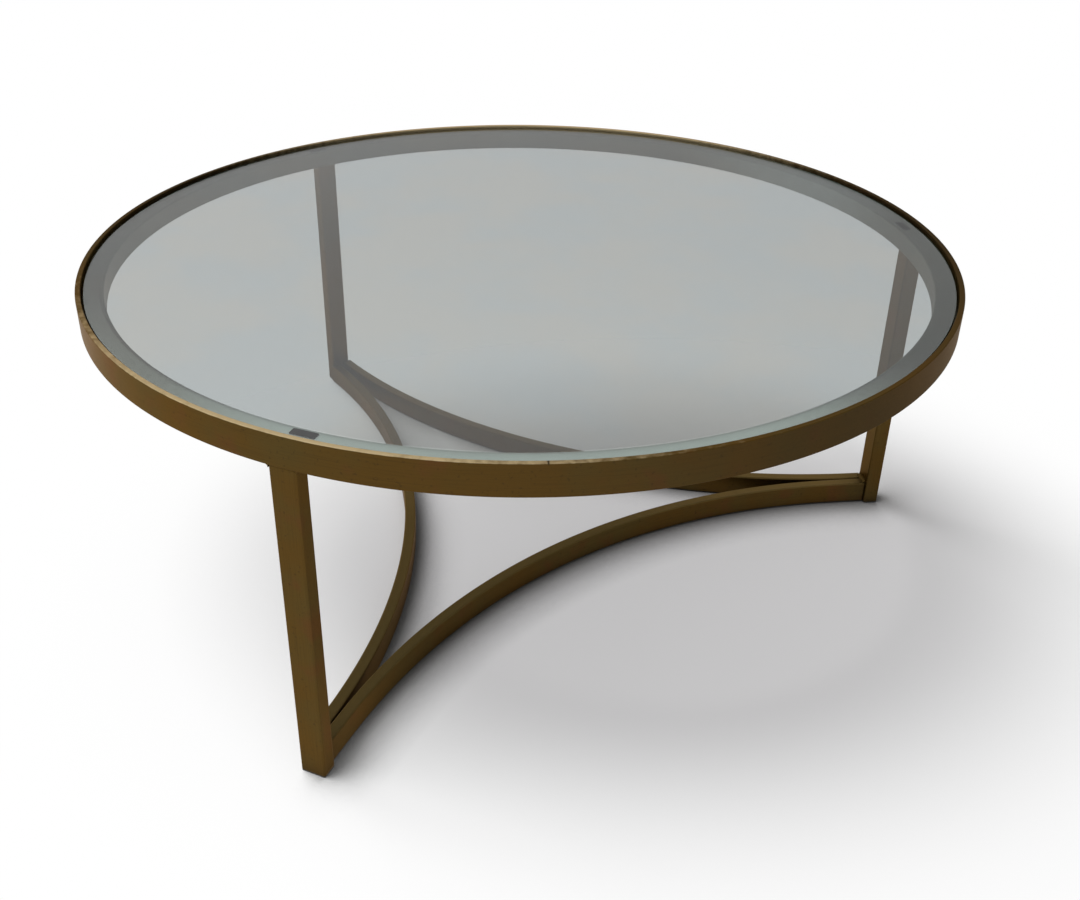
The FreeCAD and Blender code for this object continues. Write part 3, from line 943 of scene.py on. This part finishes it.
@dataclass
class Legs:
    """The three upright tubes with the weld beads at their heads."""

    brass: Material
    outer_radius: float = 531.5 * MM
    width: float = 30.0 * MM
    depth: float = 20.0 * MM
    corner: float = 2.5 * MM
    foot: float = 1.5 * MM
    head: float = 387.0 * MM
    stops: int = 120
    run_stops: int = 24
    bend_stops: int = 9
    edge_wear: float = 0.12
    knock_wear: float = 0.12
    knock_reach: float = 90.0 * MM
    foot_darkening: float = 0.5
    darkening_reach: float = 12.0 * MM
    bead: Bead = Bead()
    bead_grime: float = 0.04

    def middle_radius(self) -> float:
        """Distance of a leg's middle from the table's axis."""
        return self.outer_radius - self.depth / 2

    def inner_radius(self) -> float:
        """Distance of a leg's inner face from the table's axis."""
        return self.outer_radius - self.depth

    def outwards(self, index: int) -> np.ndarray:
        """The plan direction of a leg as a vector."""
        return np.array([math.cos(leg_turn(index)), math.sin(leg_turn(index)), 0.0])

    def sideways(self, index: int) -> np.ndarray:
        """The direction along the ring at a leg, anticlockwise."""
        return np.cross(UP, self.outwards(index))

    def build_tube(self, index: int) -> None:
        """One tube: a rounded rectangle carried straight up.

        Args:
            index: Which leg.
        """
        section = rounded_section(self.depth, self.width, self.corner)
        heights = np.linspace(self.foot, self.head, self.stops)
        centre = self.outwards(index) * self.middle_radius() + heights[:, None] * UP
        outwards = np.broadcast_to(self.outwards(index), centre.shape)
        sideways = np.broadcast_to(self.sideways(index), centre.shape)
        skin = Skin(section, Route(centre, outwards, sideways), capped=True)
        above = heights - self.foot
        knocks = self.edge_wear + self.knock_wear * np.exp(-((above / self.knock_reach) ** 2))
        skin.measures[Measure.WEAR_AND_PAINTED_LIGHT] = np.outer(knocks, section.edge)
        # Darker towards the foot.
        darkening = self.foot_darkening * np.exp(-above / self.darkening_reach)
        skin.measures[Measure.GRIME_AND_PAINTED_SHADE] = np.outer(darkening, np.ones_like(section.edge))
        name = f"leg_{LEG_NAMES[index]}"
        add_piece(f"{name}_tube", skin, self.brass, name)

    def build_weld(self, index: int) -> None:
        """The bead at a leg's head, round both sides and the inner face.

        The path follows the tube's outline from its outer face, round the two inner corners, back to
        its outer face: five stretches of points and of the directions that face away from the tube.

        Args:
            index: Which leg.
        """
        half_depth, half_width, quarter = self.depth / 2, self.width / 2, math.pi / 2
        bend = np.linspace(0.0, quarter, self.bend_stops)
        run = np.linspace(0.0, 1.0, self.run_stops, endpoint=False)
        flat = np.ones_like(run)
        side_run = half_depth + (self.corner - 2.0 * half_depth) * run
        inner_run = (half_width - self.corner) * (1.0 - 2.0 * run[1:])
        bend_x = -half_depth + self.corner * (1.0 - np.sin(bend))
        bend_y = half_width - self.corner * (1.0 - np.cos(bend))
        stretches = (
            (side_run, half_width * flat, quarter * flat),
            (bend_x, bend_y, quarter + bend),
            (-half_depth * flat[1:], inner_run, 2.0 * quarter * flat[1:]),
            (bend_x[::-1], -bend_y[::-1], 2.0 * quarter + bend),
            (side_run[::-1], -half_width * flat, 3.0 * quarter * flat),
        )
        path_x, path_y, turn = (np.concatenate(parts)[:, None] for parts in zip(*stretches))
        out, side = self.outwards(index), self.sideways(index)
        centre = out * self.middle_radius() + self.head * UP + path_x * out + path_y * side
        away = np.cos(turn) * out + np.sin(turn) * side
        route = Route(centre, away, np.broadcast_to(UP, centre.shape))
        node = f"leg_weld_{LEG_NAMES[index]}"
        skin = self.bead.skin(route, self.bead_grime)
        add_piece(f"{node}_bead", skin, self.brass, node)


@dataclass
class Stretchers:
    """The three bent tubes at the floor with the weld beads across their ends.

    At the front and right legs a pair of ends sits to one side; at the left leg the ends stand apart.
    """

    legs: Legs
    brass: Material
    height: float = 30.0 * MM
    depth: float = 14.5 * MM
    corner: float = 2.0 * MM
    lead_offset: float = 3.75 * MM
    side_offset: float = 11.75 * MM
    lead_straight: float = 48.0 * MM
    side_straight: float = 2.0 * MM
    foot: float = 1.5 * MM
    straight_stops: int = 24
    bend_stops: int = 140
    weld_stops: int = 60
    edge_wear: float = 0.16
    end_darkening: float = 0.35
    end_reach: float = 20.0 * MM
    low_darkening: float = 0.35
    low_reach: float = 4.0 * MM
    bead: Bead = Bead()
    bead_grime: float = 0.15

    def route(self, index: int) -> Route:
        """The middle line of a stretcher.

        In its own frame, x runs from the axis between two legs. A straight end starts on the leg's
        inner face, beside the plane of the leg; an arc about a point on x, tangent to it, follows;
        the other half mirrors the first.

        Args:
            index: Which stretcher.

        Returns:
            The route, its side pointing to the table's axis.
        """
        half_step = LEG_STEP / 2
        offset = (self.lead_offset, self.side_offset, self.side_offset)[index]
        straight = (self.lead_straight, self.side_straight, self.side_straight)[index]
        reach = self.legs.inner_radius()
        bend_start = reach - straight
        bend_centre = bend_start / math.cos(half_step)
        bend_radius = bend_start * math.tan(half_step) - offset
        swing = np.linspace(math.pi / 2 + half_step, 1.5 * math.pi - half_step, self.bend_stops)
        shares = np.linspace(0.0, 1.0, self.straight_stops, endpoint=False)
        distance = reach - straight * shares
        end_x = distance * math.cos(half_step) + offset * math.sin(half_step)
        end_y = distance * math.sin(half_step) - offset * math.cos(half_step)
        x = np.concatenate([end_x, bend_centre + bend_radius * np.cos(swing), end_x[::-1]])
        y = np.concatenate([end_y, bend_radius * np.sin(swing), -end_y[::-1]])
        lean = np.pad(swing, self.straight_stops, mode="edge")
        turn = leg_turn(index) + half_step
        level = np.full_like(x, self.foot + self.height / 2)
        cosine, sine = math.cos(turn), math.sin(turn)
        centre = np.stack([x * cosine - y * sine, x * sine + y * cosine, level], axis=1)
        side = np.stack([np.cos(lean + turn), np.sin(lean + turn), np.zeros_like(lean)], axis=1)
        return Route(centre, side, np.broadcast_to(UP, centre.shape))

    def build_tube(self, index: int) -> None:
        """One bent tube.

        Args:
            index: Which stretcher.
        """
        section = rounded_section(self.depth, self.height, self.corner)
        route = self.route(index)
        skin = Skin(section, route, capped=True)
        length = route.length()
        half = self.height / 2
        whole = np.ones_like(length)
        upper = smooth_step(section.rise, -half, half)
        skyward = smooth_step(section.rise, half - self.corner, half)
        skin.measures[Measure.WEAR_AND_PAINTED_LIGHT] = np.outer(whole, self.edge_wear * section.edge * upper)
        skin.measures[Measure.DUST] = np.outer(whole, skyward)
        # Darker towards both ends and towards the bottom.
        from_end = np.minimum(length, length[-1] - length)
        ends = self.end_darkening * np.exp(-from_end / self.end_reach)
        low = self.low_darkening * np.exp(-(section.rise + half) / self.low_reach)
        skin.measures[Measure.GRIME_AND_PAINTED_SHADE] = ends[:, None] + low[None, :]
        name = f"stretcher_{STRETCHER_NAMES[index]}"
        add_piece(f"{name}_tube", skin, self.brass, name)

    def weld_runs(self) -> tuple[tuple[str, int, float, float], ...]:
        """Each bead's name and leg, and its start and end along the ring from the leg's middle."""
        leg_end = self.legs.width / 2 - self.legs.corner
        lead_end = self.lead_offset + self.depth / 2 - self.corner
        side_start = self.side_offset - self.depth / 2 + self.corner
        return (
            ("front", FRONT, -leg_end, lead_end),
            ("right", RIGHT, -lead_end, leg_end),
            ("left_back", LEFT, -leg_end, -side_start),
            ("left_front", LEFT, side_start, leg_end),
        )

    def build_weld(self, name: str, index: int, first: float, last: float) -> None:
        """A bead across stretcher ends, a rippled hollow fillet on a straight path.

        Args:
            name: The bead's name.
            index: Which leg.
            first: Where it starts, from the middle of the leg.
            last: Where it stops.
        """
        along = np.linspace(first, last, self.weld_stops)
        out, side = self.legs.outwards(index), self.legs.sideways(index)
        base = out * self.legs.inner_radius() + (self.foot + self.height) * UP
        centre = base + along[:, None] * side
        route = Route(centre, np.broadcast_to(-out, centre.shape), np.broadcast_to(-UP, centre.shape))
        node = f"stretcher_weld_{name}"
        skin = self.bead.skin(route, self.bead_grime)
        add_piece(f"{node}_bead", skin, self.brass, node)


@dataclass(frozen=True)
class Lamp:
    """A broad, far lamp.

    Attributes:
        name: Its name.
        strength: Its light on a surface that faces it.
        spread: How wide it looks from the table.
        source: The direction its light comes from.
    """

    name: str
    strength: float
    spread: float
    source: Triple

    def build(self) -> None:
        """Hangs the lamp, unseen in mirrors and glass."""
        data = bpy.data.lights.new(self.name, "SUN")
        data.energy = self.strength
        data.angle = self.spread
        lamp = link_object(self.name, data)
        lamp.rotation_euler = Vector(self.source).to_track_quat("Z", "Y").to_euler()
        lamp.visible_glossy = False
        lamp.visible_transmission = False


@dataclass
class Studio:
    """Pale floor, white surroundings, two soft lamps on the left and the camera."""

    photo_width: float = 1080.0
    photo_height: float = 900.0
    focal_pixels: float = 1149.97
    axis_pixel: Span = (486.9, 385.7)
    sensor: float = 36.0
    camera_place: Triple = (0.5473, -1.2564, 0.9468)
    heading: float = math.radians(25.127)
    tilt: float = math.radians(28.199)
    roll: float = math.radians(-0.263)
    floor_radius: float = 40.0
    floor_sides: int = 96
    floor_drop: float = 0.2 * MM
    floor_colour: Colour = (0.93, 0.93, 0.93)
    white_centre: Triple = (0.264, -0.005, 0.0)
    white_flatness: float = 1.354
    white_ease: Span = (0.349, 0.936)
    contact_shade_colour: Colour = (0.20, 0.20, 0.20)
    contact_source: Triple = (-0.814, 0.294, 0.500)
    contact_reach: float = 0.075
    contact_ease: Span = (0.38, 0.86)
    contact_samples: int = 6
    sky: float = 0.264
    mirror_low: float = 0.584
    mirror_high: float = 0.816
    mirror_rise: Span = (0.30, 0.56)
    mirror_lean: float = 0.4
    lamps: tuple[Lamp, ...] = (
        Lamp("high_lamp", 2.05, math.radians(36.0), (-0.339, -0.159, 0.927)),
        Lamp("low_lamp", 1.02, math.radians(26.0), (-0.757, 0.220, 0.616)),
    )

    def build_camera(self) -> None:
        """Stands the camera where the photograph was taken from, with its lens and shift."""
        data = bpy.data.cameras.new("camera")
        data.sensor_width = self.sensor
        data.lens = self.sensor * self.focal_pixels / self.photo_width
        data.shift_x = (self.photo_width / 2 - self.axis_pixel[0]) / self.photo_width
        data.shift_y = (self.axis_pixel[1] - self.photo_height / 2) / self.photo_width
        level = math.cos(self.tilt)
        ahead = Vector(
            (-math.sin(self.heading) * level, math.cos(self.heading) * level, -math.sin(self.tilt))
        )
        right = Vector((math.cos(self.heading), math.sin(self.heading), 0.0))
        up = right.cross(ahead)
        cosine, sine = math.cos(self.roll), math.sin(self.roll)
        across, upright = cosine * right + sine * up, cosine * up - sine * right
        camera = link_object("camera", data)
        turned = Matrix((across, upright, -ahead)).transposed().to_4x4()
        camera.matrix_world = Matrix.Translation(self.camera_place) @ turned
        bpy.context.scene.camera = camera

    def build_floor(self) -> None:
        """A wide disc that keeps the table's shadow, turns white far away and is clear from below."""
        turns = np.linspace(0.0, math.tau, self.floor_sides, endpoint=False)
        ring = np.stack([np.cos(turns), np.sin(turns)], axis=1) * self.floor_radius
        points = np.column_stack([ring, np.full(self.floor_sides, -self.floor_drop)])
        mesh = bpy.data.meshes.new("floor")
        mesh.from_pydata(points.tolist(), [], [list(range(self.floor_sides))])
        mesh.materials.append(self.paper())
        floor = link_object("floor", mesh)

    def paper(self) -> Material:
        """The floor's finish: painted shade where the table hems it in, white outside an ellipse.

        Returns:
            The material.
        """
        made = bpy.data.materials.new("floor_paper")
        shader = Shader(made)
        ellipse = {
            "Vector": shader.place(),
            "Location": self.white_centre,
            "Rotation": (0.0, 0.0, self.heading),
            "Scale": (1.0, 1.0 / self.white_flatness, 1.0),
        }
        turned = shader.node("ShaderNodeMapping", {"vector_type": "TEXTURE"}, ellipse)
        away = shader.distance(turned.outputs[0]).eased(*self.white_ease)
        source = shader.node("ShaderNodeCombineXYZ", {}, dict(enumerate(self.contact_source)))
        hemmed = shader.node(
            "ShaderNodeAmbientOcclusion",
            {"samples": self.contact_samples},
            {"Distance": self.contact_reach, "Normal": source.outputs[0]},
        )
        # Painted shade: the floor's colour darkened where the table hems it in from the lamps' side.
        shade = 1.0 - Value(shader, hemmed.outputs["AO"]).eased(*self.contact_ease)
        contact = shade * shader.ray("Camera", "Transmission")
        paper = shader.mixed(contact, self.floor_colour, self.contact_shade_colour)
        matt = shader.principled({"Base Color": paper, "Roughness": 1.0, "Specular IOR Level": 0.0})
        white = shader.node("ShaderNodeEmission", {}, {"Strength": 1.0}).outputs[0]
        whitened = shader.blend(away * shader.ray(*SHOWN_RAYS) * (1.0 - contact), matt, white)
        below = shader.node("ShaderNodeNewGeometry", {}, {}).outputs["Backfacing"]
        shader.finish(shader.blend(below, whitened, shader.clear(WHITE[:3])))
        return made

    def build_sky(self) -> None:
        """White surroundings: dimmer as a light, and greyer low down as a mirror sees them."""
        world = bpy.data.worlds.new("surroundings")
        bpy.context.scene.world = world
        shader = Shader(world)
        glossy = shader.ray("Glossy")
        way = shader.node("ShaderNodeTexCoord", {}, {}).outputs["Generated"]
        aim = shader.node("ShaderNodeSeparateXYZ", {}, {0: way})
        lifted = Value(shader, aim.outputs["Z"]).eased(*self.mirror_rise)
        left = (-math.cos(self.heading), -math.sin(self.heading), 0.0)
        sided = 1.0 + shader.ahead(way, left) * self.mirror_lean
        mirrored = (self.mirror_low + lifted * (self.mirror_high - self.mirror_low)) * sided
        seen = shader.ray(*SHOWN_RAYS)
        strength = self.sky * (1.0 - seen) + seen * (1.0 - glossy) + glossy * mirrored
        back = shader.node("ShaderNodeBackground", {}, {"Color": WHITE, "Strength": strength})
        shader.node("ShaderNodeOutputWorld", {}, {"Surface": back.outputs[0]})

    def build(self) -> None:
        """Sets the whole stage."""
        bpy.context.scene.view_settings.view_transform = "Standard"
        self.build_sky()
        self.build_floor()
        for lamp in self.lamps:
            lamp.build()
        self.build_camera()


def main() -> None:
    """Builds the finishes, the pieces and the stage, and reports each piece."""
    logging.basicConfig(level=logging.INFO, format="%(name)s %(message)s")
    finishes = (AntiqueBrass(), SEAT_BRASS, TableGlass(), PAD_RUBBER, GLIDE_PLASTIC)
    brass, seat_brass, glass, rubber, plastic = (finish.material() for finish in finishes)
    ring = TopRing(brass, seat_brass)
    ring.build_band()
    ring.build_seat()
    GlassTop(glass).build()
    legs = Legs(brass)
    stretchers = Stretchers(legs, brass)
    for index, name in enumerate(LEG_NAMES):
        legs.build_tube(index)
        legs.build_weld(index)
        stretchers.build_tube(index)
        dress_node(f"glass_pad_{name}", rubber)
        dress_node(f"glide_{name}", plastic)
    for run in stretchers.weld_runs():
        stretchers.build_weld(*run)
    Studio().build()


if __name__ == "__main__":
    main()
